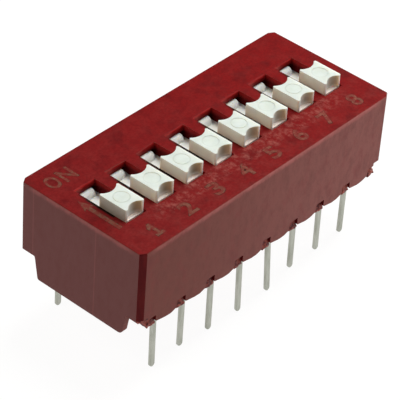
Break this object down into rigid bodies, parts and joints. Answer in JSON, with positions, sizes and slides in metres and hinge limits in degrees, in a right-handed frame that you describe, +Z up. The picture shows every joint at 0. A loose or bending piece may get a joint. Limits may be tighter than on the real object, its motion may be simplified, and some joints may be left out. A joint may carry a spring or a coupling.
{
  "type": "dip switch",
  "caption": "Through-hole slide switch package for a circuit board: a row of small on-off sliders in a red cover over two rows of flat pins.",
  "frame": {"origin": "middle of the pin footprint, on the surface of the circuit board that the two end feet stand on", "axes": "+X along the row of switches towards position 8, +Y across the body towards ON, +Z up, away from the board; pins run down from the body to 3.70 mm below the origin"},
  "size_m": [0.0224, 0.0096, 0.011],
  "materials": {
    "cover_plastic": "red moulded nylon, satin on top and matt on the sides, with brownish print",
    "base_plastic": "red moulded nylon, plain",
    "slider_plastic": "natural white moulded nylon, satin",
    "leaf_metal": "gold over copper alloy, bright",
    "pin_metal": "tin over brass, satin"
  },
  "bodies": {
    "housing": {"cover": "cover_plastic", "base": "base_plastic", "terminal_front_1": "pin_metal", "terminal_front_2": "pin_metal", "terminal_front_3": "pin_metal", "terminal_front_4": "pin_metal", "terminal_front_5": "pin_metal", "terminal_front_6": "pin_metal", "terminal_front_7": "pin_metal", "terminal_front_8": "pin_metal", "terminal_rear_1": "pin_metal", "terminal_rear_2": "pin_metal", "terminal_rear_3": "pin_metal", "terminal_rear_4": "pin_metal", "terminal_rear_5": "pin_metal", "terminal_rear_6": "pin_metal", "terminal_rear_7": "pin_metal", "terminal_rear_8": "pin_metal"},
    "slider_1": {"actuator_1": "slider_plastic", "bridge_contact_1": "leaf_metal"},
    "slider_2": {"actuator_2": "slider_plastic", "bridge_contact_2": "leaf_metal"},
    "slider_3": {"actuator_3": "slider_plastic", "bridge_contact_3": "leaf_metal"},
    "slider_4": {"actuator_4": "slider_plastic", "bridge_contact_4": "leaf_metal"},
    "slider_5": {"actuator_5": "slider_plastic", "bridge_contact_5": "leaf_metal"},
    "slider_6": {"actuator_6": "slider_plastic", "bridge_contact_6": "leaf_metal"},
    "slider_7": {"actuator_7": "slider_plastic", "bridge_contact_7": "leaf_metal"},
    "slider_8": {"actuator_8": "slider_plastic", "bridge_contact_8": "leaf_metal"}
  },
  "joints": [
    {"name": "switch_1", "type": "slide", "parent": "housing", "child": "slider_1", "axis": [0, 1, 0], "range_m": [0, 0.00183]},
    {"name": "switch_2", "type": "slide", "parent": "housing", "child": "slider_2", "axis": [0, 1, 0], "range_m": [0, 0.00183]},
    {"name": "switch_3", "type": "slide", "parent": "housing", "child": "slider_3", "axis": [0, 1, 0], "range_m": [0, 0.00183]},
    {"name": "switch_4", "type": "slide", "parent": "housing", "child": "slider_4", "axis": [0, 1, 0], "range_m": [0, 0.00183]},
    {"name": "switch_5", "type": "slide", "parent": "housing", "child": "slider_5", "axis": [0, 1, 0], "range_m": [0, 0.00183]},
    {"name": "switch_6", "type": "slide", "parent": "housing", "child": "slider_6", "axis": [0, 1, 0], "range_m": [0, 0.00183]},
    {"name": "switch_7", "type": "slide", "parent": "housing", "child": "slider_7", "axis": [0, 1, 0], "range_m": [0, 0.00183]},
    {"name": "switch_8", "type": "slide", "parent": "housing", "child": "slider_8", "axis": [0, 1, 0], "range_m": [0, 0.00183]}
  ]
}
